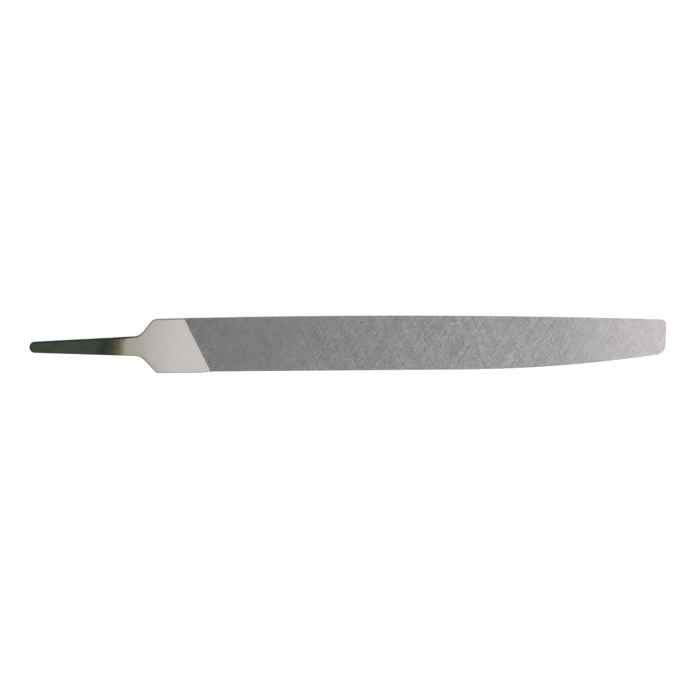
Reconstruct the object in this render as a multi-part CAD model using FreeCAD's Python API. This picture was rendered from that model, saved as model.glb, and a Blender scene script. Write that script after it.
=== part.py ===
import FreeCAD, Part
import math
import os

# A flat file of the 250 mm class, without a handle: one bar of hardened tool steel, forged to a tang at
# one end, tapered in width and thickness towards the point, and cut with teeth on both faces and both
# edges. The real file is a single forging. The nodes below are its zones, each with a finish or a job of
# its own, and they meet face to face with nothing between them:
#   tang              the soft, blackened spike that a handle is driven onto
#   heel              the bright, uncut steel between the tang and the first teeth
#   blade_core        the body of the blade inside its four cutting surfaces, with the plain point end
#   upper_face_teeth  the double-cut upper face, as deep as the steel that the chisels disturb
#   lower_face_teeth  the same on the lower face
#   left_edge_teeth   the single-cut edge on the left, looking from the tang to the point
#   right_edge_teeth  the single-cut edge on the right
# The cutting surfaces are closed solids whose outer faces touch the tips of the teeth.
#
# Working frame, in millimetres: X runs from the tang to the point with 0 at the heel, where the nominal
# length starts, Y runs across with 0 on the tang's axis, and Z is up with 0 on the lower face. place()
# moves the finished parts so that the origin is the middle of the footprint of the whole file.

# Driving dimensions
LENGTH = 250.0           # heel to point, the size that a file is sold by
TANG_LENGTH = 49.5
THICKNESS = 6.3          # of the body, over the tips of the teeth
POINT_THICKNESS = 4.2
MID_Z = THICKNESS / 2

# Outline of the body. The left edge is one long shallow arc. The right edge steps in a little where its
# teeth start, runs straight and a touch outwards as far as RIGHT_TAPER_START, and then turns in on a
# smaller arc, so the point leans a little to the left.
LEFT_CREST_X = 80.0
LEFT_CREST_Y = 13.4
LEFT_RADIUS = 4300.0
RIGHT_HEEL_Y = -12.9
RIGHT_STEP_START = 31.0
RIGHT_STEP_END = 37.0
RIGHT_STEP_Y = -12.35
RIGHT_TAPER_START = 155.0
RIGHT_TAPER_Y = -12.6
RIGHT_RADIUS = 680.0
POINT_TILT = 0.9         # how much shorter the file is at its right corner than at its left
LEFT_POINT_RADIUS = 2.4
RIGHT_POINT_RADIUS = 4.6

# Shoulders, from the root of the tang out to the full width
LEFT_ROOT_X = 2.7
LEFT_SHOULDER_X = 9.05
LEFT_SHOULDER_RADIUS = 4.0
RIGHT_ROOT_X = 3.0
RIGHT_SHOULDER_X = 10.4
RIGHT_SHOULDER_RADIUS = 2.0
ROOT_RADIUS = 5.5

# Tang
TANG_ROOT_HALF_WIDTH = 4.85
TANG_TIP_RADIUS = 2.78
TANG_ROOT_THICKNESS = 5.6
TANG_TIP_THICKNESS = 3.0
RAMP_LENGTH = 12.0       # over which the forging swells from the tang to the body
FORGED_EDGE_RADIUS = 0.6  # of the long corners of the tang and of the heel

# Side profile of the body
BELLY_START = 150.0      # where both faces start to curve in towards the point

# Cutting surfaces
FACE_CUT_DEPTH = 0.8
EDGE_CUT_DEPTH = 0.8
CUT_START_X = 30.0       # where the first row of face teeth crosses the tang's axis
CUT_ANGLE = 64.3         # of that row to the length, in degrees
EDGE_CUT_START = 30.0
EDGE_CUT_END = 244.5

REACH = 40.0             # half size of the tools that cut the blank, well clear of it
SMALL = 1e-6


def point(x, y, z=0.0):
    return FreeCAD.Vector(x, y, z)


def left_edge_y(x):
    """Y of the left edge, on its arc."""
    return LEFT_CREST_Y - LEFT_RADIUS + math.sqrt(LEFT_RADIUS**2 - (x - LEFT_CREST_X) ** 2)


def right_edge_y(x):
    """Y of the right edge on its arc."""
    return RIGHT_TAPER_Y + RIGHT_RADIUS - math.sqrt(RIGHT_RADIUS**2 - (x - RIGHT_TAPER_START) ** 2)


def belly_drop(x, radius):
    """How far a face of that radius has curved in at x."""
    along = max(0.0, x - BELLY_START)
    return radius - math.sqrt(radius**2 - along**2)


def belly_radius():
    """Radius of the faces that gives the thickness at the point."""
    drop = (THICKNESS - POINT_THICKNESS) / 2
    return ((LENGTH - BELLY_START) ** 2 + drop**2) / (2 * drop)


def arc(*points):
    return Part.Arc(*points).toShape()


def line(start, end):
    return Part.LineSegment(start, end).toShape()


def solid_box(x_low, x_high, y_low=-REACH, y_high=REACH, z_low=-REACH, z_high=REACH):
    return Part.makeBox(x_high - x_low, y_high - y_low, z_high - z_low, point(x_low, y_low, z_low))


def upright_edges(shape, places):
    """The upright edges of shape that stand at the given (x, y) places."""
    found = []
    for edge in shape.Edges:
        middle = edge.CenterOfMass
        upright = edge.BoundBox.ZLength > 1 and edge.BoundBox.XLength < SMALL
        if upright and any(math.hypot(middle.x - x, middle.y - y) < 0.01 for x, y in places):
            found.append(edge)
    return found


def plan_prism():
    """The whole outline seen from above, as a tall prism."""
    tip_x = TANG_TIP_RADIUS - TANG_LENGTH
    left_root = point(LEFT_ROOT_X, TANG_ROOT_HALF_WIDTH)
    left_shoulder = point(LEFT_SHOULDER_X, left_edge_y(LEFT_SHOULDER_X))
    left_point = point(LENGTH, left_edge_y(LENGTH))
    right_root = point(RIGHT_ROOT_X, -TANG_ROOT_HALF_WIDTH)
    right_shoulder = point(RIGHT_SHOULDER_X, RIGHT_HEEL_Y)
    right_step_start = point(RIGHT_STEP_START, RIGHT_HEEL_Y)
    right_step_end = point(RIGHT_STEP_END, RIGHT_STEP_Y)
    right_taper = point(RIGHT_TAPER_START, RIGHT_TAPER_Y)
    right_point = point(LENGTH - POINT_TILT, right_edge_y(LENGTH - POINT_TILT))
    left_middle_x = (LEFT_SHOULDER_X + LENGTH) / 2
    right_middle_x = (RIGHT_TAPER_START + LENGTH) / 2
    edges = [
        arc(point(tip_x, -TANG_TIP_RADIUS), point(-TANG_LENGTH, 0), point(tip_x, TANG_TIP_RADIUS)),
        line(point(tip_x, TANG_TIP_RADIUS), left_root),
        line(left_root, left_shoulder),
        arc(left_shoulder, point(left_middle_x, left_edge_y(left_middle_x)), left_point),
        line(left_point, right_point),
        arc(right_point, point(right_middle_x, right_edge_y(right_middle_x)), right_taper),
        line(right_taper, right_step_end),
        line(right_step_end, right_step_start),
        line(right_step_start, right_shoulder),
        line(right_shoulder, right_root),
        line(right_root, point(tip_x, -TANG_TIP_RADIUS)),
    ]
    face = Part.Face(Part.Wire(Part.__sortEdges__(edges)))
    prism = face.extrude(point(0, 0, 2 * REACH))
    prism.translate(point(0, 0, -REACH))
    corners = (
        (LEFT_POINT_RADIUS, [(left_point.x, left_point.y)]),
        (RIGHT_POINT_RADIUS, [(right_point.x, right_point.y)]),
        (LEFT_SHOULDER_RADIUS, [(left_shoulder.x, left_shoulder.y)]),
        (RIGHT_SHOULDER_RADIUS, [(right_shoulder.x, right_shoulder.y)]),
        (ROOT_RADIUS, [(left_root.x, left_root.y), (right_root.x, right_root.y)]),
    )
    for radius, places in corners:
        prism = prism.makeFillet(radius, upright_edges(prism, places))
    return prism


def across(edges):
    """A closed outline in the XZ plane, as a solid that runs right across the file."""
    wire = Part.Wire(Part.__sortEdges__(edges))
    solid = Part.Face(wire).extrude(point(0, 2 * REACH, 0))
    solid.translate(point(0, -REACH, 0))
    return solid


def face_curve(x_start, depth, side):
    """The upper (side 1) or lower (side -1) face, offset inwards by depth: a line and an arc, in the XZ plane."""
    radius = belly_radius()
    x_end = LENGTH + 1.0
    x_middle = (BELLY_START + x_end) / 2
    level = MID_Z + side * (MID_Z - depth)

    def on_belly(x):
        return point(x, 0, level - side * belly_drop(x, radius - depth))

    return [
        line(point(x_start, 0, level), on_belly(BELLY_START)),
        arc(on_belly(BELLY_START), on_belly(x_middle), on_belly(x_end)),
    ]


def between(x_start, lower, upper):
    """The layer between two face curves, as a solid right across the file."""
    edges = face_curve(x_start, *lower) + face_curve(x_start, *upper)
    ends = [edges[0].Vertexes[0].Point, edges[2].Vertexes[0].Point]
    tips = [edges[1].Vertexes[-1].Point, edges[3].Vertexes[-1].Point]
    return across(edges + [line(*ends), line(*tips)])


def ramp_half_thickness(x):
    """Half the thickness on the ramp: an arc that starts at the tang's root and runs out level with the body."""
    rise = (THICKNESS - TANG_ROOT_THICKNESS) / 2
    radius = (RAMP_LENGTH**2 + rise**2) / (2 * rise)
    return MID_Z - radius + math.sqrt(radius**2 - (RAMP_LENGTH - x) ** 2)


def tang_profile():
    """Side view of the tang and of the ramp up to the body, as a solid right across the file."""
    tip = TANG_TIP_THICKNESS / 2
    ramp = [(x, ramp_half_thickness(x)) for x in (0, RAMP_LENGTH / 2, RAMP_LENGTH)]
    edges = []
    for side in (1, -1):
        tip_corner = point(-TANG_LENGTH - 1, 0, MID_Z + side * tip)
        ramp_points = [point(x, 0, MID_Z + side * half) for x, half in ramp]
        edges.append(line(tip_corner, ramp_points[0]))
        edges.append(arc(*ramp_points))
    edges.append(line(point(-TANG_LENGTH - 1, 0, MID_Z - tip), point(-TANG_LENGTH - 1, 0, MID_Z + tip)))
    edges.append(line(point(RAMP_LENGTH, 0, 0), point(RAMP_LENGTH, 0, THICKNESS)))
    return across(edges)


def beyond_first_row(side):
    """Everything on the point side of the first row of teeth. The row runs the other way on the lower face."""
    slope = side / math.tan(math.radians(CUT_ANGLE))
    far = LENGTH + REACH
    corners = [
        point(CUT_START_X - slope * REACH, REACH, -REACH),
        point(far, REACH, -REACH),
        point(far, -REACH, -REACH),
        point(CUT_START_X + slope * REACH, -REACH, -REACH),
    ]
    return Part.Face(Part.makePolygon(corners + corners[:1])).extrude(point(0, 0, 2 * REACH))


def face_teeth(plan, side):
    """A double-cut face: the outer skin of the body beyond the first row of teeth."""
    skin = between(0.0, (FACE_CUT_DEPTH, side), (0.0, side))
    return plan.common(skin).common(beyond_first_row(side))


def edge_teeth(plan, middle, side):
    """A single-cut edge: the outer part of the middle layer along one edge."""
    stretch = solid_box(EDGE_CUT_START, EDGE_CUT_END, *((0, REACH) if side > 0 else (-REACH, 0)))
    inner = plan.copy()
    inner.translate(point(0, -side * EDGE_CUT_DEPTH, 0))
    return middle.common(stretch).cut(inner)


def rounded(shape, radius, wanted):
    """shape with the edges for which wanted(edge) is true rounded off."""
    return shape.makeFillet(radius, [edge for edge in shape.Edges if wanted(edge)])


def tang_corner(edge):
    """True for the long corners of the tang and those round its tip."""
    box = edge.BoundBox
    middle = edge.CenterOfMass
    flat = box.ZLength < box.XLength
    return flat and abs(middle.z - MID_Z) > 1.0 and box.XLength > 0.5 and box.XMin < -0.5


def heel_corner(edge):
    """True for the corners between the heel's two faces and its sides, from the tang round both shoulders."""
    box = edge.BoundBox
    on_face = abs(edge.CenterOfMass.z - MID_Z) > TANG_ROOT_THICKNESS / 2 - SMALL
    flat = box.ZLength < box.XLength
    ends_at_teeth = box.YLength > THICKNESS and box.XMax > CUT_START_X
    return on_face and flat and not ends_at_teeth


def place(shape):
    """Moves a finished part so that the origin is at the middle of the file's footprint."""
    shift_x = (TANG_LENGTH - LENGTH) / 2
    shift_y = -(LEFT_CREST_Y + RIGHT_HEEL_Y) / 2
    shape.translate(point(shift_x, shift_y, 0))
    return shape


def build():
    plan = plan_prism()
    body = plan.common(between(RAMP_LENGTH, (0.0, -1), (0.0, 1)))
    root_end = plan.common(tang_profile())
    middle_layer = between(0.0, (FACE_CUT_DEPTH, -1), (FACE_CUT_DEPTH, 1))
    middle = plan.common(middle_layer).common(solid_box(EDGE_CUT_START, LENGTH + REACH))
    parts = {
        "upper_face_teeth": face_teeth(plan, 1),
        "lower_face_teeth": face_teeth(plan, -1),
        "left_edge_teeth": edge_teeth(plan, middle, 1),
        "right_edge_teeth": edge_teeth(plan, middle, -1),
    }
    parts["blade_core"] = middle.cut([parts["left_edge_teeth"], parts["right_edge_teeth"]])
    tang = root_end.common(solid_box(-TANG_LENGTH - REACH, 0.0))
    parts["tang"] = rounded(tang, FORGED_EDGE_RADIUS, tang_corner)
    ramp = root_end.common(solid_box(0.0, RAMP_LENGTH))
    heel = ramp.fuse(body).removeSplitter().cut([p for name, p in parts.items() if name != "tang"])
    parts["heel"] = rounded(heel, FORGED_EDGE_RADIUS, heel_corner)
    return parts


def main():
    os.makedirs("parts", exist_ok=True)
    for name, shape in build().items():
        place(shape).exportStep(os.path.join("parts", name + ".step"))


main()
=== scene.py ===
import math

import bmesh
import bpy
import numpy as np
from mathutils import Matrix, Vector, noise
from mathutils.bvhtree import BVHTree


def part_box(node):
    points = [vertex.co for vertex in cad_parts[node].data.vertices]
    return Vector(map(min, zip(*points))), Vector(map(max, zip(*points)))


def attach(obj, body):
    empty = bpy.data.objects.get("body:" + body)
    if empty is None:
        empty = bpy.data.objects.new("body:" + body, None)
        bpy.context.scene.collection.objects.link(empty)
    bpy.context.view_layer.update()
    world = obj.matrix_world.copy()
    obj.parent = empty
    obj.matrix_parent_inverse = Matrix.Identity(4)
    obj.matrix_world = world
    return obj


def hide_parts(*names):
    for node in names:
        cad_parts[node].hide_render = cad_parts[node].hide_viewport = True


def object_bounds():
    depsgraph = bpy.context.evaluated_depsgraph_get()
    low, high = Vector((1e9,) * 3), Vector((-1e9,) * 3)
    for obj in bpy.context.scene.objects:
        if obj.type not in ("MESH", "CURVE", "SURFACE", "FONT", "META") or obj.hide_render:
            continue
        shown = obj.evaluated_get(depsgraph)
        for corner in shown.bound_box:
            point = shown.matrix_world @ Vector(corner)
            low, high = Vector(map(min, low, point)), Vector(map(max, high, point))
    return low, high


# The looks of a flat file, lying on its lower face and seen from straight above.
#
# The real file is one forging, so its surface is made as closed master solids that run through the zones
# of the CAD model: a forged blank for the tang and the heel, a slab of teeth for each face, a blade with
# teeth along both edges, and a bevelled bar that takes the sharpness off the blade's corners. Each visible
# piece is cut out of them by its own CAD node, so pieces meet face to face and every tooth stays inside
# the CAD model. Places come from the CAD meshes. All lengths are in metres, in the frame of the model:
# X from the tang to the point, Y to the left, Z up.

MM = 0.001
GAP = 0.01 * MM            # between the highest teeth and the faces of the CAD model
INSET = 0.05 * MM          # between smooth plain surfaces and the CAD model, whose arcs are polygons
SUNK = 2.0 * MM            # how far a master solid reaches past the pieces that are cut from it
SAME_PLACE = 0.001 * MM    # points of the CAD model closer together than this are one point
SEED = 11

# Teeth of the two faces. The up-cut rows lie at the angle of the first row, and the over-cut rows, which
# were cut first, cross them the other way. Tip and foot are the places of a tooth's tip and of the foot of
# its steep front, as shares of the pitch.
UP_CUT = {"angle": math.radians(64.3), "pitch": 0.90 * MM, "tip": 0.84, "foot": 0.94}
OVER_CUT = {"angle": math.radians(-57.0), "pitch": 1.10 * MM, "tip": 0.80, "foot": 0.93}
TOOTH_DEPTH = 0.28 * MM
ROW_JITTER = 0.10          # how unevenly the rows are spaced, as a share of the pitch
ROW_SINK = 0.08            # how much lower the lowest rows stand, as a share of the depth
TIP_WEAR = 0.11            # the same for single teeth
TIP_DRIFT = 0.045          # how far single teeth are out of line, as a share of the pitch
FIRST_ROW_LEAD = 1.1       # how far before the corner of the face the first row starts, in pitches

# Teeth of the two edges, single cut
EDGE_CUT = {"angle": math.radians(24.0), "pitch": 0.95 * MM, "tip": 0.74, "foot": 0.84}
EDGE_TOOTH_DEPTH = 0.24 * MM

# The plain shape of the blade
POINT_RADII = {1: 2.4 * MM, -1: 4.6 * MM}   # of the left and the right corner of the point, seen from above
CORNER_POINTS = 14         # on the arc of each of them
BLADE_BEVEL = 0.30 * MM    # of the blade's long corners and round its point
BLADE_REACH = 10.0 * MM    # how far the toothed blade reaches back over the heel
BLADE_STEP = 2.0 * MM      # between the cross-sections of the bevelled bar
BLADE_NOSE = 6.0 * MM      # its last stretch, with NOSE_STATIONS cross-sections closer together
NOSE_STATIONS = 20
BAR_COUNTS = (4, 1, 1)     # points of each corner, each face and each side of a cross-section
SIDE_SAMPLE = 2.0 * MM     # between the two points that give the direction of a side
END_SAMPLE = 5.0 * MM      # the same for the end

# The forged blank
HEEL_SINK = 0.07 * MM      # of the ground heel below the tips of the teeth
SINK_LENGTH = 8.0 * MM     # over which the tang's surface runs into the heel's
TANG_CORNER = 1.05 * MM
HEEL_CORNER = 0.75 * MM
TIP_NOSE = 1.0 * MM        # rounding of the tang's tip, seen from the side
TIP_LENGTH = 3.0 * MM      # the first stretch of the tang, with TIP_STATIONS cross-sections closer together
TIP_STATIONS = 24
STATION_STEP = 0.35 * MM   # between the other cross-sections
BLANK_COUNTS = (6, 44, 10)  # the same as BAR_COUNTS, for the blank
STRAIGHT_START = 4.0 * MM  # where the straight sides of the tang start and end, from its tip
STRAIGHT_END = 30.0 * MM
STEEPEST = 3.0             # slope of the outline up to which the inset is kept square to it
PLAN_SMOOTHING = 2         # cross-sections on both sides with which the outline is averaged
SIDE_SMOOTHING = 6         # the same for the thickness
ALMOST = 0.98              # share of half the width or thickness that a rounded corner may take

# How uneven the forging is. The ground heel has HEEL_ROUGHNESS of the tang's dents.
HEEL_ROUGHNESS = 0.08
ROOT_ROUGHNESS = 0.1       # the same at the root of the tang
ROUGH_LENGTH = 12.0 * MM   # over which the dents deepen from the root of the tang
BROAD_DENTS = {"size": 7.0 * MM, "depth": 0.07}      # depths in millimetres
FINE_DENTS = {"size": 1.7 * MM, "depth": 0.025}
FINE_OFFSET = Vector((9, 4, 2))
SIDE_SHARE = 0.3           # how much of the press goes sideways, against up and down

# Marks and shading
EDGE_SAMPLES = 400         # places along an edge at which its line is read
CUT_ACROSS = 0.99          # a face whose normal has a larger X is a cut across the file
TINY = 1e-12               # keeps the weight of a point without faces above 0
SHARP_ANGLE = math.radians(40.0)

# The map for baking the skin of a cut face: the skin seen from above, laid out in strips along X, then its
# walls, then the inside, which doesn't show, at a smaller scale.
MAP_STRIPS = 3
MAP_GAP = 0.6 * MM
MAP_OVERLAP = 1.2 * MM     # how far a tooth may reach past the end of its strip
MAP_SKIN = 0.35 * MM       # everything on the skin lies within this depth
MAP_INSIDE_SCALE = 0.1

# Colours of the cut steel by the height on a tooth, from the gullets to the tips
CUT_STEEL_COLOURS = (
    (0.0, (0.345, 0.345, 0.338)),
    (0.45, (0.425, 0.425, 0.418)),
    (0.85, (0.495, 0.49, 0.485)),
    (1.0, (0.57, 0.56, 0.56)),
)
GRIME = (0.20, 0.19, 0.165)
PAINTED_LIGHT = (0.79, 0.69, 0.74)     # painted light: the cut steel turns brighter and pinker towards the point, as if lit more strongly there
PAINTED_LIGHT_LENGTH = 50.0 * MM       # over which the painted light rises, from the point

# Colours of the forging by the place along the file, in millimetres from the root of the tang: blackened
# steel, the bluest stretch, the brown band, and the ground heel.
HEAT_COLOURS = (
    (-42.0, (0.044, 0.060, 0.035)),
    (-30.0, (0.046, 0.056, 0.042)),
    (-19.0, (0.036, 0.051, 0.038)),
    (-15.0, (0.020, 0.031, 0.031)),
    (-12.5, (0.026, 0.031, 0.023)),
    (-10.0, (0.050, 0.046, 0.025)),
    (-7.0, (0.108, 0.095, 0.053)),
    (-4.8, (0.175, 0.150, 0.122)),
    (-3.9, (0.345, 0.325, 0.305)),
    (0.5, (0.349, 0.343, 0.308)),
    (8.0, (0.398, 0.388, 0.371)),
    (22.0, (0.465, 0.454, 0.446)),
)
TAN = (0.33, 0.28, 0.20)
WARM = (0.46, 0.425, 0.415)
# Painted shade for the upright left side of the forging, which faces away from the light
PAINTED_SHADE = (0.045, 0.046, 0.034)

# The stage
FLOOR_SIZE = 30.0
FLOOR_WHITE = (0.9, 0.9, 0.9, 1.0)
FLOOR_ROUGHNESS = 0.9
FLOOR_GLOW = 0.62
WHITE = (1.0, 1.0, 1.0, 1.0)
WALL_TOP = 0.30            # heights of the light all round, as the sine of the angle above the horizon:
CEILING = 0.60             # it dims from the one to the other
VIEW_WIDTH = 0.3278        # width of the view at the upper face
VIEW_CENTRE = (0.0010, -0.00306)
LENS = 100.0
SENSOR = 36.0
NEAREST = 0.01
ROLL = -0.0103             # turn of the camera about its own axis


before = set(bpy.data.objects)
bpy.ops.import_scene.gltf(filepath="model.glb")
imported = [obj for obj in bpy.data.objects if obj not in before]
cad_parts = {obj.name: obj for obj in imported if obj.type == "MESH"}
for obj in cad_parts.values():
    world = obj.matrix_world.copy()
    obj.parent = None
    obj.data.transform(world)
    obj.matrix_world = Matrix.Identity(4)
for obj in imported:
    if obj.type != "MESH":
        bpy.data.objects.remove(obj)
cad_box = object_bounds()
low, high = (Vector(corner) for corner in cad_box)
middle_z = (low.z + high.z) / 2


# Reading the CAD model

def mesh_points(mesh):
    """The vertices of a mesh as rows of X, Y and Z."""
    points = np.empty(3 * len(mesh.vertices))
    mesh.vertices.foreach_get("co", points)
    return points.reshape(-1, 3)


def cad_points(node):
    """The vertices of a CAD node."""
    return mesh_points(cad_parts[node].data)


def cad_tree():
    """A tree of the faces of all CAD nodes together, for casting rays at them."""
    points, faces = [], []
    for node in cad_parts.values():
        start = len(points)
        points += [vertex.co.copy() for vertex in node.data.vertices]
        faces += [[start + index for index in polygon.vertices] for polygon in node.data.polygons]
    return BVHTree.FromPolygons(points, faces)


whole_file = cad_tree()


def hit(start, direction):
    """Where a ray first meets the file."""
    return whole_file.ray_cast(Vector(start), Vector(direction))[0]


def outline(x_values):
    """Y of the right and of the left side of the whole file at each x, half-way up."""
    right = [hit((x, -1, middle_z), (0, 1, 0)).y for x in x_values]
    left = [hit((x, 1, middle_z), (0, -1, 0)).y for x in x_values]
    return np.array(right), np.array(left)


def half_thickness(x_values):
    """Half the thickness of the file at each x."""
    return np.array([hit((x, 0, 1), (0, 0, -1)).z - middle_z for x in x_values])


def belly():
    """Where the faces start to curve in towards the point, and the radius of that curve."""
    points = cad_points("upper_face_teeth")
    flat_end = points[points[:, 2] > high.z - SAME_PLACE, 0].max()
    tip = points[points[:, 0].argmax()]
    end_height = points[points[:, 0] > tip[0] - 10 * SAME_PLACE, 2].max()
    run = tip[0] - flat_end
    drop = high.z - end_height
    return flat_end, (run**2 + drop**2) / (2 * drop)


belly_start, belly_radius = belly()


def belly_drop(x):
    """How far the faces have curved in at x."""
    along = np.maximum(0.0, x - belly_start)
    return belly_radius - np.sqrt(belly_radius**2 - along**2)


# Making meshes

def new_piece(name, points, faces):
    """A mesh object in the scene."""
    mesh = bpy.data.meshes.new(name)
    mesh.from_pydata(points, [], faces)
    mesh.validate()
    piece = bpy.data.objects.new(name, mesh)
    bpy.context.scene.collection.objects.link(piece)
    return piece


def rings_between(count, rings):
    """Quads between rings of count points each, numbered ring after ring, and a cap at each end."""
    index = np.arange(count)
    following = np.roll(index, -1)
    quad = np.stack([index, following, following + count, index + count], 1)
    faces = np.concatenate([quad + number * count for number in range(rings - 1)]).tolist()
    last = (rings - 1) * count
    return faces + [index[::-1].tolist(), (index + last).tolist()]


def welded_copy(node):
    """A closed copy of a CAD node, to cut with. It drops the node's own shading, which would show as a seam
    where pieces meet."""
    source = bmesh.new()
    source.from_mesh(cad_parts[node].data)
    bmesh.ops.remove_doubles(source, verts=source.verts, dist=SAME_PLACE)
    mesh = bpy.data.meshes.new("cutter")
    source.to_mesh(mesh)
    source.free()
    mesh.attributes.remove(mesh.attributes["custom_normal"])
    cutter = bpy.data.objects.new("cutter", mesh)
    bpy.context.scene.collection.objects.link(cutter)
    return cutter


def common(name, *solids):
    """The space that all the given solids share, as a new piece."""
    piece = solids[0].copy()
    piece.name = name
    bpy.context.scene.collection.objects.link(piece)
    for solid in solids[1:]:
        cut = piece.modifiers.new("cut", "BOOLEAN")
        cut.operation = "INTERSECT"
        cut.solver = "MANIFOLD"
        cut.object = solid
    graph = bpy.context.evaluated_depsgraph_get()
    mesh = bpy.data.meshes.new_from_object(piece.evaluated_get(graph))
    piece.modifiers.clear()
    piece.data = mesh
    mesh.name = name
    return piece


def cut_from(name, node, *masters):
    """The part of the master solids inside a CAD node, as the piece that stands for that node."""
    cutter = welded_copy(node)
    piece = common(name, *masters, cutter)
    bpy.data.objects.remove(cutter)
    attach(piece, "root")
    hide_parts(node)
    return piece


def rounding(distance, radius):
    """How far a rounded end of that radius has drawn in at a distance from the end."""
    short = np.clip(radius - distance, 0, radius)
    return radius - np.sqrt(radius**2 - short**2)


# Teeth

def rows(cut, first, last, seed):
    """Places of the creases of the rows between first and last, and their heights, which are 0 in a gullet
    and 1 on a tip."""
    rng = np.random.default_rng(seed)
    count = int((last - first) / (cut["pitch"] * (1 - ROW_JITTER))) + 2
    lengths = cut["pitch"] * (1 + ROW_JITTER * rng.uniform(-1, 1, count))
    starts = first + np.cumsum(lengths) - lengths
    tips = 1 - ROW_SINK * rng.uniform(0, 1, count)
    places = np.stack([starts, starts + cut["tip"] * lengths, starts + cut["foot"] * lengths], 1)
    heights = np.stack([np.zeros(count), tips, np.zeros(count)], 1)
    return places.ravel(), heights.ravel()


def tooth_slab(name, node, side):
    """A closed slab whose outer surface is the double-cut teeth of the upper (side 1) or the lower (side -1)
    face."""
    up_x, up_y = math.sin(UP_CUT["angle"]), math.cos(UP_CUT["angle"]) * side
    over_x, over_y = math.sin(-OVER_CUT["angle"]), -math.cos(OVER_CUT["angle"]) * side
    points = cad_points(node)
    up_span = points[:, 0] * up_x + points[:, 1] * up_y
    over_span = points[:, 0] * over_x + points[:, 1] * over_y
    up_first = up_span.min() - FIRST_ROW_LEAD * UP_CUT["pitch"]
    up_places, up_heights = rows(UP_CUT, up_first, up_span.max() + SUNK, SEED)
    over_first = over_span.min() - SUNK
    over_places, over_heights = rows(OVER_CUT, over_first, over_span.max() + SUNK, SEED + side)

    rng = np.random.default_rng(SEED + side)
    up, over = np.meshgrid(up_places, over_places, indexing="ij")
    up = up + UP_CUT["pitch"] * TIP_DRIFT * rng.uniform(-1, 1, up.shape)
    over = over + OVER_CUT["pitch"] * TIP_DRIFT * rng.uniform(-1, 1, over.shape)
    turn = up_x * over_y - up_y * over_x
    x = (up * over_y - over * up_y) / turn
    y = (over * up_x - up * over_x) / turn
    height = np.minimum(up_heights[:, None], over_heights[None, :])
    height = height * (1 - TIP_WEAR * rng.uniform(0, 1, height.shape))
    level = high.z - middle_z - GAP - TOOTH_DEPTH * (1 - height) - belly_drop(x)
    surface = np.stack([x, y, middle_z + side * level], -1)

    low_corner, high_corner = points.min(0) - SUNK, points.max(0) + SUNK
    within = (x > low_corner[0]) & (x < high_corner[0]) & (y > low_corner[1]) & (y < high_corner[1])
    cells = within[:-1, :-1] & within[1:, :-1] & within[:-1, 1:] & within[1:, 1:]
    rise_up = np.diff(up_heights) >= 0
    rise_over = np.diff(over_heights) >= 0
    number = np.arange(surface[..., 0].size).reshape(up.shape)
    triangles = []
    for same in (True, False):
        i, j = np.nonzero(cells & ((rise_up[:, None] == rise_over[None, :]) == same))
        a, b, c, d = number[i, j], number[i + 1, j], number[i + 1, j + 1], number[i, j + 1]
        if same:
            triangles += [np.stack([a, b, c], 1), np.stack([a, c, d], 1)]
        else:
            triangles += [np.stack([a, b, d], 1), np.stack([b, c, d], 1)]
    triangles = np.concatenate(triangles)
    if side * turn < 0:
        triangles = triangles[:, ::-1]
    return closed_below(name, surface.reshape(-1, 3), triangles, middle_z)


def closed_below(name, points, triangles, floor_z):
    """A closed solid between a patch of triangles and its own flat shadow at floor_z."""
    used, triangles = np.unique(triangles, return_inverse=True)
    triangles = triangles.reshape(-1, 3)
    points = points[used]
    count = len(points)
    shadow = points.copy()
    shadow[:, 2] = floor_z
    sides = np.concatenate([triangles[:, [0, 1]], triangles[:, [1, 2]], triangles[:, [2, 0]]])
    key = sides[:, 0] * count + sides[:, 1]
    partner = sides[:, 1] * count + sides[:, 0]
    rim = sides[~np.isin(key, partner)]
    walls_a = np.stack([rim[:, 1], rim[:, 0], rim[:, 0] + count], 1)
    walls_b = np.stack([rim[:, 1], rim[:, 0] + count, rim[:, 1] + count], 1)
    faces = np.concatenate([triangles, triangles[:, ::-1] + count, walls_a, walls_b])
    return new_piece(name, np.concatenate([points, shadow]), faces)


def meeting(first, second):
    """Where two lines meet in plan. Each line is a pair of points."""
    (p, q), (r, s) = first, second
    along, other = q - p, s - r
    between = r - p
    turn = along[0] * other[1] - along[1] * other[0]
    return p + (between[0] * other[1] - between[1] * other[0]) / turn * along


def rounded_corner(before, corner, after, radius):
    """Points of the arc that rounds off a corner between two lines in plan."""
    back = (before - corner) / np.linalg.norm(before - corner)
    on = (after - corner) / np.linalg.norm(after - corner)
    half_angle = math.acos(back @ on) / 2
    middle = (back + on) / np.linalg.norm(back + on)
    centre = corner + middle * radius / math.sin(half_angle)
    start = corner + back * radius / math.tan(half_angle) - centre
    end = corner + on * radius / math.tan(half_angle) - centre
    sweep = math.pi - 2 * half_angle
    share = np.linspace(0.0, 1.0, CORNER_POINTS)[:, None]
    return centre + (np.sin((1 - share) * sweep) * start + np.sin(share * sweep) * end) / math.sin(sweep)


def end_face():
    """Two points of the end of the blade, half-way up, and how much its X changes with Y."""
    first, second = (hit((1, y, middle_z), (-1, 0, 0)) for y in (0, END_SAMPLE))
    tilt = (second.x - first.x) / (second.y - first.y)
    return first, second, tilt


def point_end(x_start):
    """Plan of the plain end of the blade beyond x_start, from its right side round to its left."""
    x_pair = np.array([x_start, x_start - SIDE_SAMPLE])
    right, left = outline(x_pair)
    end = [np.array([place.x - INSET, place.y]) for place in end_face()[:2]]
    sides = {side: np.column_stack([x_pair, y - side * INSET]) for side, y in ((-1, right), (1, left))}
    corners = {side: meeting(sides[side], end) for side in sides}
    right_corner = rounded_corner(sides[-1][0], corners[-1], corners[1], POINT_RADII[-1] - INSET)
    left_corner = rounded_corner(corners[-1], corners[1], sides[1][0], POINT_RADII[1] - INSET)
    return np.concatenate([sides[-1][:1], right_corner, left_corner, sides[1][:1]])


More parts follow.
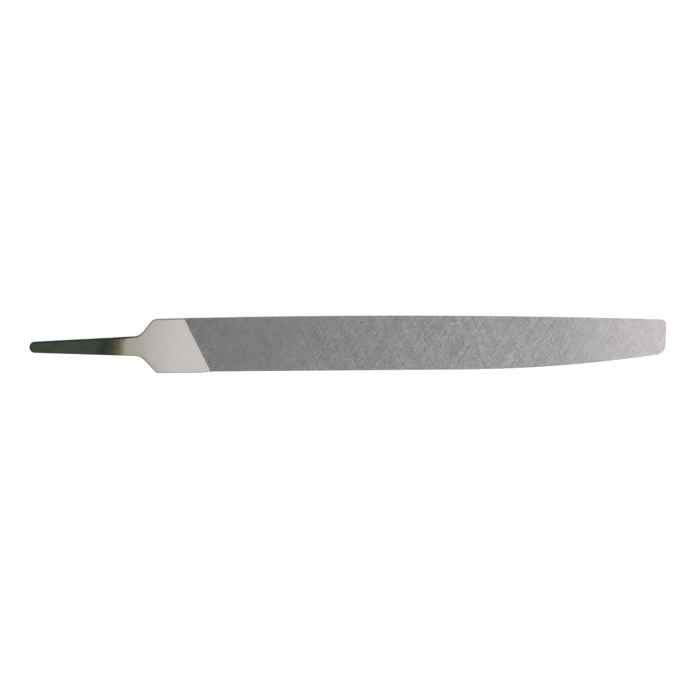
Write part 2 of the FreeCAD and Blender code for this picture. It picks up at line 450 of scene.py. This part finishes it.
def serrated_blade(name):
    """A prism with the outline of the blade and teeth along both of its sides."""
    edge_low, edge_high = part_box("left_edge_teeth")
    slant = math.tan(EDGE_CUT["angle"])
    margin = slant * (edge_high.z - edge_low.z) / 2
    places, heights = rows(EDGE_CUT, edge_low.x + margin, edge_high.x - margin, SEED)
    kept = places < edge_high.x - margin
    run_out = EDGE_CUT["pitch"] / 10
    x_teeth = np.concatenate([places[:1] - run_out, places[kept], places[kept][-1:] + run_out])
    inset = np.concatenate([[INSET], GAP + EDGE_TOOTH_DEPTH * (1 - heights[kept]), [INSET]])
    right, left = outline(x_teeth)
    teeth_right = np.column_stack([x_teeth, right + inset])
    teeth_left = np.column_stack([x_teeth, left - inset])

    reach = high.z - middle_z + INSET
    lean = reach * slant
    x_plain = np.array([edge_low.x - BLADE_REACH, x_teeth[0] - lean - INSET])
    right, left = outline(x_plain)
    before_right = np.column_stack([x_plain, right + INSET])
    before_left = np.column_stack([x_plain, left - INSET])
    beyond = point_end(x_teeth[-1] + lean + INSET)
    ring = np.concatenate([before_right, teeth_right, beyond, teeth_left[::-1], before_left[::-1]])
    teeth, plain = np.ones(len(x_teeth)), np.zeros(len(x_plain))
    leaning = np.concatenate([plain, teeth, np.zeros(len(beyond)), teeth, plain])
    levels = []
    for side in (-1, 1):
        x = ring[:, 0] + side * lean * leaning
        levels.append(np.column_stack([x, ring[:, 1], np.full(len(ring), middle_z + side * reach)]))
    return new_piece(name, np.concatenate(levels), rings_between(len(ring), 2))


# Bars along X, made of cross-sections

def section(right, left, half, corner_y, corner_z, counts):
    """A rounded rectangle in the YZ plane, as points in order round it. Counts are the points of each
    corner, of each face and of each side."""
    corner_points, face_points, side_points = counts
    quarter = np.linspace(0.0, math.pi / 2, corner_points)
    across = np.linspace(0.0, 1.0, face_points + 2)[1:-1]
    up = np.linspace(0.0, 1.0, side_points + 2)[1:-1]
    inner_left, inner_right = left - corner_y, right + corner_y
    inner_top = half - corner_z
    centres = (
        (inner_left, inner_top),
        (inner_right, inner_top),
        (inner_right, -inner_top),
        (inner_left, -inner_top),
    )
    ring = []
    for number, (y, z) in enumerate(centres):
        angle = quarter + number * math.pi / 2
        ring.append(np.column_stack([y + corner_y * np.cos(angle), z + corner_z * np.sin(angle)]))
        if number == 0:
            ring.append(np.column_stack([y + (inner_right - y) * across, np.full(face_points, half)]))
        elif number == 1:
            ring.append(np.column_stack([np.full(side_points, right), z - 2 * inner_top * up]))
        elif number == 2:
            ring.append(np.column_stack([y + (inner_left - y) * across, np.full(face_points, -half)]))
        else:
            ring.append(np.column_stack([np.full(side_points, left), z + 2 * inner_top * up]))
    return np.concatenate(ring)


def smoothed(values, reach):
    """values averaged over reach neighbours on both sides."""
    padded = np.pad(values, reach, mode="edge")
    kernel = np.ones(2 * reach + 1) / (2 * reach + 1)
    return np.convolve(padded, kernel, mode="valid")


def blank_stations():
    """X of the cross-sections of the blank, closer together round the tip of the tang."""
    start = low.x + INSET
    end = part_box("heel")[1].x + SUNK
    tip = start + TIP_LENGTH * (1 - np.cos(np.linspace(0.0, math.pi / 2, TIP_STATIONS)[1:]))
    return np.concatenate([tip, np.arange(tip[-1] + STATION_STEP, end, STATION_STEP)])


def blank_outline(x_values):
    """Y of both sides of the blank, which are those of the CAD model without its facets and with a round
    tip, and how steep they are."""
    end = low.x + INSET
    tip = x_values < end + STRAIGHT_START
    straight = (x_values > end + STRAIGHT_START) & (x_values < end + STRAIGHT_END)
    sides = []
    for y in outline(x_values):
        line = np.polyfit(x_values[straight], y[straight], 1)
        sides.append(np.where(tip, np.polyval(line, x_values), smoothed(y, PLAN_SMOOTHING)))
    right, left = sides
    slope = np.minimum(np.abs(np.gradient(left, x_values)), STEEPEST)
    inset = INSET * np.sqrt(1 + slope**2)
    radius = (left[0] - right[0]) / 2 - INSET
    drawn_in = rounding(x_values - end, radius)
    return right + inset + drawn_in, left - inset - drawn_in, slope


def forged_blank(name):
    """The tang and the heel as one smooth solid that is a little uneven, as forged steel is."""
    x_values = blank_stations()
    right, left, slope = blank_outline(x_values)
    root_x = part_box("tang")[1].x
    towards_heel = np.clip((x_values - root_x) / SINK_LENGTH + 0.5, 0, 1)
    half = smoothed(half_thickness(x_values), SIDE_SMOOTHING) - INSET - HEEL_SINK * towards_heel
    half -= rounding(x_values - x_values[0] + GAP, TIP_NOSE)
    corner = TANG_CORNER + (HEEL_CORNER - TANG_CORNER) * towards_heel
    rings = []
    for index, x in enumerate(x_values):
        half_width = (left[index] - right[index]) / 2
        corner_y = min(corner[index] * math.hypot(1, slope[index]), ALMOST * half_width)
        corner_z = min(corner[index], ALMOST * half[index])
        ring = section(right[index], left[index], half[index], corner_y, corner_z, BLANK_COUNTS)
        rings.append(np.column_stack([np.full(len(ring), x), ring]))
    points = np.concatenate(rings)
    points[:, 2] += middle_z
    return new_piece(name, uneven(points, root_x), rings_between(len(rings[0]), len(rings)))


def uneven(points, root_x):
    """Presses the surface in by some hundredths of a millimetre, most on the rough tang."""
    centre_y = points[:, 1].mean()
    moved = points.copy()
    for number, (x, y, z) in enumerate(points):
        rough = min(1.0, max(HEEL_ROUGHNESS, (root_x - x) / ROUGH_LENGTH + ROOT_ROUGHNESS))
        place = Vector((x, y, z))
        broad = noise.noise(place / BROAD_DENTS["size"]) * 0.5 + 0.5
        fine = noise.noise(place / FINE_DENTS["size"] + FINE_OFFSET) * 0.5 + 0.5
        press = rough * MM * (BROAD_DENTS["depth"] * broad + FINE_DENTS["depth"] * fine)
        outward = Vector((0, (y - centre_y) * SIDE_SHARE, z - middle_z))
        outward.normalize()
        moved[number, 1] -= press * outward.y
        moved[number, 2] -= press * outward.z
    return moved


def bevelled_bar(name):
    """The blade's full width and thickness with its corners rounded off, to take the sharpness off the
    toothed masters. Its cross-sections lean as the end of the blade does."""
    full = high.z - middle_z
    end_point, _, tilt = end_face()
    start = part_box("upper_face_teeth")[0].x - SUNK
    end = end_point.x - GAP
    near_end = end - BLADE_NOSE * (1 - np.sin(np.linspace(0.0, math.pi / 2, NOSE_STATIONS)))
    x_values = np.concatenate([np.arange(start, near_end[0] - BLADE_STEP / 2, BLADE_STEP), near_end])
    sections = []
    for x in x_values:
        right = hit((x - tilt, -1, middle_z), (tilt, 1, 0)).y
        left = hit((x + tilt, 1, middle_z), (-tilt, -1, 0)).y
        sections.append(section(right, left, full, BLADE_BEVEL, BLADE_BEVEL, BAR_COUNTS))
    sections.append(sections[-1])
    x_values = np.append(x_values, end + BLADE_BEVEL)
    count = len(sections[0])
    y, z = np.concatenate(sections).T
    x = np.repeat(x_values, count)
    end_bevel = np.maximum(0, x - (end - INSET - BLADE_BEVEL))
    x = x + tilt * y
    z = middle_z + z * (1 - (belly_drop(x) + end_bevel) / full)
    return new_piece(name, np.column_stack([x, y, z]), rings_between(count, len(sections)))


# Marks that the materials read

def vertex_mark(piece, name, values):
    """Stores a number between 0 and 1 on each vertex of a piece."""
    mark = piece.data.attributes.new(name, "FLOAT", "POINT")
    mark.data.foreach_set("value", np.clip(values, 0, 1).astype(np.float32))


def mark_face(piece):
    """Stores how high each point of a cut face stands on its tooth: 0 in a gullet and 1 on a tip."""
    points = mesh_points(piece.data)
    level = high.z - middle_z - belly_drop(points[:, 0])
    vertex_mark(piece, "tooth_height", 1 - (level - np.abs(points[:, 2] - middle_z)) / TOOTH_DEPTH)


def mark_edge(piece, side):
    """The same for a cut edge."""
    points = mesh_points(piece.data)
    samples = np.linspace(points[:, 0].min(), points[:, 0].max(), EDGE_SAMPLES)
    right, left = outline(samples)
    edge = np.interp(points[:, 0], samples, left if side > 0 else right)
    vertex_mark(piece, "tooth_height", 1 - side * (edge - points[:, 1]) / EDGE_TOOTH_DEPTH)


def mark_sides(piece):
    """Stores how upright the surface is at each point, apart from the cuts across the file: 0 on the two
    broad faces and 1 on the sides."""
    upright = np.zeros(len(piece.data.vertices))
    weight = np.full(len(upright), TINY)
    for face in piece.data.polygons:
        if abs(face.normal.x) < CUT_ACROSS:
            corners = list(face.vertices)
            upright[corners] += (1 - abs(face.normal.z)) * face.area
            weight[corners] += face.area
    vertex_mark(piece, "side", upright / weight)


def lay_out(piece):
    """Gives a cut face the UV map that an export bakes its colours on."""
    mesh = piece.data
    points = mesh_points(mesh)
    corners = np.empty(len(mesh.loops), dtype=np.int32)
    mesh.loops.foreach_get("vertex_index", corners)
    counts = np.empty(len(mesh.polygons), dtype=np.int32)
    mesh.polygons.foreach_get("loop_total", counts)
    normals = np.empty(3 * len(counts))
    mesh.polygons.foreach_get("normal", normals)
    normals = normals.reshape(-1, 3)
    starts = np.cumsum(counts) - counts

    depth = high.z - middle_z - belly_drop(points[:, 0]) - np.abs(points[:, 2] - middle_z)
    depth = depth[corners]
    x, y = (points[corners] - points.min(0))[:, :2].T
    length, width = np.ptp(points, axis=0)[:2]
    strip_length = length / MAP_STRIPS
    centre = np.add.reduceat(x, starts) / counts
    strip = np.minimum(centre // strip_length, MAP_STRIPS - 1)
    wall = np.maximum.reduceat(depth, starts) > MAP_SKIN
    inside = np.minimum.reduceat(depth, starts) > MAP_SKIN
    across = wall & (np.abs(normals[:, 0]) > np.abs(normals[:, 1]))
    left = wall & (normals[:, 1] > 0)
    of_faces = (strip, wall, inside, across, left)
    strip, wall, inside, across, left = (np.repeat(values, counts) for values in of_faces)

    wall_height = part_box("upper_face_teeth")[1].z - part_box("left_edge_teeth")[1].z
    row = wall_height + MAP_GAP
    walls_start = MAP_STRIPS * (width + MAP_GAP)
    right_row, left_row, end_row = (walls_start + number * row + depth for number in range(3))
    u = np.select(
        [inside, across, wall],
        [x * MAP_INSIDE_SCALE, y, x / MAP_STRIPS],
        x - strip * strip_length,
    )
    v = np.select(
        [inside, across, left, wall],
        [walls_start + 3 * row + y * MAP_INSIDE_SCALE, end_row, left_row, right_row],
        y + strip * (width + MAP_GAP),
    )
    size = walls_start + 3 * row + width * MAP_INSIDE_SCALE + 2 * MAP_GAP
    places = np.column_stack([u + MAP_OVERLAP, v + MAP_GAP]) / size
    layer = mesh.uv_layers.new(name="OFBake")
    layer.uv.foreach_set("vector", places.ravel())


# Materials

def add(tree, kind, inputs, **settings):
    """A new shader node. Its inputs are numbers, colours or the outputs of other nodes."""
    made = tree.nodes.new("ShaderNode" + kind)
    for name, value in settings.items():
        setattr(made, name, value)
    for name, value in inputs.items():
        if isinstance(value, bpy.types.NodeSocket):
            tree.links.new(value, made.inputs[name])
        else:
            made.inputs[name].default_value = value
    return made


def new_material(name):
    """A metal with nothing set yet: the material, its node tree, its shader and the place on the object."""
    material = bpy.data.materials.new(name)
    material.use_nodes = True
    tree = material.node_tree
    shader = tree.nodes["Principled BSDF"]
    shader.inputs["Metallic"].default_value = 1.0
    place = tree.nodes.new("ShaderNodeTexCoord").outputs["Object"]
    return material, tree, shader, place


def grain(tree, place, size, stretch=(1, 1, 1), turn=0.0, detail=3.0):
    """Noise between 0 and 1 whose features measure size times stretch, turned about Z."""
    scale = tuple(1 / (size * along) for along in stretch)
    turned = add(tree, "Mapping", {"Vector": place, "Rotation": (0, 0, -turn)}, vector_type="POINT")
    scaled = add(tree, "Mapping", {"Vector": turned.outputs[0], "Scale": scale}, vector_type="POINT")
    inputs = {"Vector": scaled.outputs[0], "Scale": 1.0, "Detail": detail, "Roughness": 0.6}
    return add(tree, "TexNoise", inputs).outputs["Fac"]


def spread(tree, value, low_value, high_value, from_low=0.3, from_high=0.7):
    """value stretched from one range to another. Noise lies mostly between 0.3 and 0.7."""
    inputs = {"Value": value, 1: from_low, 2: from_high, 3: low_value, 4: high_value}
    return add(tree, "MapRange", inputs).outputs["Result"]


def blend_sum(tree, first, second, share):
    """first plus share times second."""
    return add(tree, "Math", {0: second, 1: share, 2: first}, operation="MULTIPLY_ADD").outputs[0]


def product(tree, first, second):
    """first times second."""
    return add(tree, "Math", {0: first, 1: second}, operation="MULTIPLY").outputs[0]


def ramp(tree, value, stops):
    """The colour at value between the given (place, colour) stops."""
    made = add(tree, "ValToRGB", {"Fac": value})
    elements = made.color_ramp.elements
    while len(elements) < len(stops):
        elements.new(0.5)
    for element, (place, colour) in zip(elements, stops):
        element.position = place
        element.color = (*colour, 1.0)
    return made.outputs["Color"]


def tinted(tree, colour, other, share):
    """colour turned towards other by share."""
    made = add(tree, "Mix", {"Factor": share}, data_type="RGBA")
    tree.links.new(colour, made.inputs[6])
    made.inputs[7].default_value = (*other, 1.0)
    return made.outputs[2]


def bumped(tree, shader, height, distance):
    """Gives a shader relief of the given depth."""
    made = add(tree, "Bump", {"Height": height, "Distance": distance})
    tree.links.new(made.outputs["Normal"], shader.inputs["Normal"])


def cut_steel(name):
    """Hardened steel cut with teeth: dull and dark in the gullets, bright on the worn tips, and with painted
    light that brightens it towards the point.
    """
    material, tree, shader, place = new_material(name)
    height = add(tree, "Attribute", {}, attribute_name="tooth_height").outputs["Fac"]
    fine = grain(tree, place, size=0.35 * MM)
    speck = grain(tree, place, size=1.1 * MM, detail=2.0)
    mottle = grain(tree, place, size=4.0 * MM, detail=4.0)
    worn = blend_sum(tree, height, spread(tree, mottle, -1.0, 1.0), share=0.08)
    worn = blend_sum(tree, worn, spread(tree, speck, -1.0, 1.0), share=0.22)
    colour = ramp(tree, worn, CUT_STEEL_COLOURS)
    colour = tinted(tree, colour, GRIME, spread(tree, mottle, 0.16, 0.0))
    along = add(tree, "SeparateXYZ", {"Vector": place}).outputs["X"]
    # Painted light: the cut steel is made brighter and pinker towards the point, standing in for the
    # stronger light on that end.
    painted_light = spread(tree, along, 0.0, 0.42, high.x - PAINTED_LIGHT_LENGTH, high.x)
    colour = tinted(tree, colour, PAINTED_LIGHT, painted_light)
    tree.links.new(colour, shader.inputs["Base Color"])
    tree.links.new(spread(tree, fine, 0.32, 0.42), shader.inputs["Roughness"])
    bumped(tree, shader, fine, distance=0.006 * MM)
    return material


def heat_tints(tree, axes, mottle, root_x):
    """The colour of the forging by its place along the file, and that place from 0 to 1."""
    first, last = HEAT_COLOURS[0][0] * MM, HEAT_COLOURS[-1][0] * MM
    stops = [((at * MM - first) / (last - first), colour) for at, colour in HEAT_COLOURS]
    wander = blend_sum(tree, axes["X"], spread(tree, mottle, -1.0, 1.0), share=0.6 * MM)
    wander = blend_sum(tree, wander, axes["Y"], share=-0.12)
    heat = spread(tree, wander, 0.0, 1.0, root_x + first, root_x + last)
    return ramp(tree, heat, stops), heat


def tan_share(tree, axes, root_x):
    """How tan the steel is: only round the root of the tang, and there most on its right."""
    low_side = blend_sum(tree, axes["X"], axes["Y"], share=1.1)
    tan_end = spread(tree, low_side, 0.75, 0.0, root_x - 5 * MM, root_x + 2 * MM)
    tan_start = spread(tree, axes["X"], 0.0, 1.0, root_x - 7 * MM, root_x - 3 * MM)
    return product(tree, tan_end, tan_start)


def painted_shade_share(tree, axes, root_x):
    """How much painted shade the left edge gets: its upright sides are darkened as if they faced away from
    the light, most on the tang and less on the heel.
    """
    side = add(tree, "Attribute", {}, attribute_name="side").outputs["Fac"]
    left = spread(tree, axes["Y"], 0.0, 1.0, -1 * MM, 1 * MM)
    left_edge = product(tree, spread(tree, side, 0.0, 1.0, 0.006, 0.03), left)
    shade_strength = spread(tree, axes["X"], 0.95, 0.30, root_x - 3 * MM, root_x + 5 * MM)
    return product(tree, left_edge, shade_strength)


def forged_steel(name, root_x):
    """Steel that goes from the blackened tang over its heat tints to the ground heel."""
    material, tree, shader, place = new_material(name)
    axes = add(tree, "SeparateXYZ", {"Vector": place}).outputs
    mottle = grain(tree, place, size=4.0 * MM, detail=4.0)
    patches = grain(tree, place, size=6.0 * MM, detail=2.0)
    fine = grain(tree, place, size=0.5 * MM)
    scratches = grain(tree, place, size=0.22 * MM, stretch=(18, 1, 1), turn=math.radians(12), detail=2.0)
    streaks = grain(tree, place, size=0.9 * MM, stretch=(9, 1, 1), detail=2.0)

    colour, heat = heat_tints(tree, axes, mottle, root_x)
    colour = tinted(tree, colour, TAN, tan_share(tree, axes, root_x))
    colour = tinted(tree, colour, GRIME, spread(tree, mottle, 0.0, 0.10))
    bare = spread(tree, axes["X"], 0.0, 1.0, root_x - 4 * MM, root_x)
    colour = tinted(tree, colour, WARM, product(tree, spread(tree, patches, 0.0, 0.4), bare))
    streaked = product(tree, spread(tree, streaks, 0.0, 0.07, 0.5, 0.75), heat)
    colour = tinted(tree, colour, GRIME, streaked)
    # Painted shade along the upright left side, where less light falls
    colour = tinted(tree, colour, PAINTED_SHADE, painted_shade_share(tree, axes, root_x))
    tree.links.new(colour, shader.inputs["Base Color"])
    rough = blend_sum(tree, spread(tree, fine, 0.40, 0.52), heat, share=-0.04)
    tree.links.new(rough, shader.inputs["Roughness"])
    relief = blend_sum(tree, scratches, fine, share=0.6)
    bumped(tree, shader, relief, distance=0.008 * MM)
    return material


def dress(piece, material):
    """Gives a piece its material."""
    piece.data.materials.clear()
    piece.data.materials.append(material)


def smooth_shaded(piece):
    """Smooth shading that keeps sharp edges."""
    piece.data.shade_smooth()
    piece.data.set_sharp_from_angle(angle=SHARP_ANGLE)


# The stage

def add_floor():
    """A pale floor under the file, so wide that its end is out of sight."""
    mesh = bpy.data.meshes.new("floor")
    half = FLOOR_SIZE / 2
    corners = [(-half, -half, low.z), (half, -half, low.z), (half, half, low.z), (-half, half, low.z)]
    mesh.from_pydata(corners, [], [(0, 1, 2, 3)])
    floor = bpy.data.objects.new("floor", mesh)
    bpy.context.scene.collection.objects.link(floor)
    material = bpy.data.materials.new("floor")
    material.use_nodes = True
    shader = material.node_tree.nodes["Principled BSDF"]
    shader.inputs["Base Color"].default_value = FLOOR_WHITE
    shader.inputs["Roughness"].default_value = FLOOR_ROUGHNESS
    shader.inputs["Emission Color"].default_value = WHITE
    shader.inputs["Emission Strength"].default_value = FLOOR_GLOW
    mesh.materials.append(material)


def add_softbox(name, place, size, radiance):
    """A rectangular light that faces the origin and looks as bright as the given radiance."""
    light = bpy.data.lights.new(name, "AREA")
    light.shape = "RECTANGLE"
    light.size, light.size_y = size
    light.energy = radiance * math.pi * size[0] * size[1]
    lamp = bpy.data.objects.new(name, light)
    lamp.location = place
    lamp.rotation_euler = (-Vector(place)).to_track_quat("-Z", "Y").to_euler()
    bpy.context.scene.collection.objects.link(lamp)


def add_world(at_horizon, above):
    """Even light from all round: brighter walls up to a low height, and dimmer above."""
    world = bpy.data.worlds.new("studio")
    world.use_nodes = True
    tree = world.node_tree
    background = tree.nodes["Background"]
    background.inputs["Color"].default_value = WHITE
    direction = tree.nodes.new("ShaderNodeTexCoord").outputs["Generated"]
    up = add(tree, "SeparateXYZ", {"Vector": direction}).outputs["Z"]
    strength = spread(tree, up, at_horizon, above, WALL_TOP, CEILING)
    tree.links.new(strength, background.inputs["Strength"])
    bpy.context.scene.world = world


def add_camera():
    """A camera straight above the file."""
    camera = bpy.data.cameras.new("camera")
    camera.lens = LENS
    camera.sensor_width = SENSOR
    camera.clip_start = NEAREST
    eye = bpy.data.objects.new("camera", camera)
    eye.location = (*VIEW_CENTRE, high.z + VIEW_WIDTH * LENS / SENSOR)
    eye.rotation_euler = (0, 0, ROLL)
    bpy.context.scene.collection.objects.link(eye)
    bpy.context.scene.camera = eye


# Cutting the pieces out of their masters

blank = forged_blank("blank")
blade = serrated_blade("blade")
bar = bevelled_bar("bar")
upper_slab = tooth_slab("upper_slab", "upper_face_teeth", 1)
lower_slab = tooth_slab("lower_slab", "lower_face_teeth", -1)
tang = cut_from("forged_tang", "tang", blank)
heel = cut_from("ground_heel", "heel", blank)
body = cut_from("blade_body", "blade_core", blade, bar)
upper_face = cut_from("upper_face", "upper_face_teeth", upper_slab, blade, bar)
lower_face = cut_from("lower_face", "lower_face_teeth", lower_slab, blade, bar)
left_edge = cut_from("left_edge", "left_edge_teeth", blade)
right_edge = cut_from("right_edge", "right_edge_teeth", blade)
for master in (blank, blade, bar, upper_slab, lower_slab):
    bpy.data.objects.remove(master)

# Dressing them

root_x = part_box("tang")[1].x
ground = forged_steel("ground_steel", root_x)
dress(tang, forged_steel("blackened_steel", root_x))
dress(heel, ground)
dress(body, ground)
for piece in (tang, heel, body):
    smooth_shaded(piece)
for piece in (tang, heel):
    mark_sides(piece)
cut = cut_steel("cut_steel")
for piece in (upper_face, lower_face):
    mark_face(piece)
    lay_out(piece)
    dress(piece, cut)
for piece, side in ((left_edge, 1), (right_edge, -1)):
    mark_edge(piece, side)
    dress(piece, cut)

add_floor()
add_world(at_horizon=0.9, above=0.12)
add_softbox("overhead", place=(0.0, -0.15, 1.05), size=(1.0, 1.8), radiance=1.5)
add_camera()
bpy.context.scene.view_settings.view_transform = "Standard"
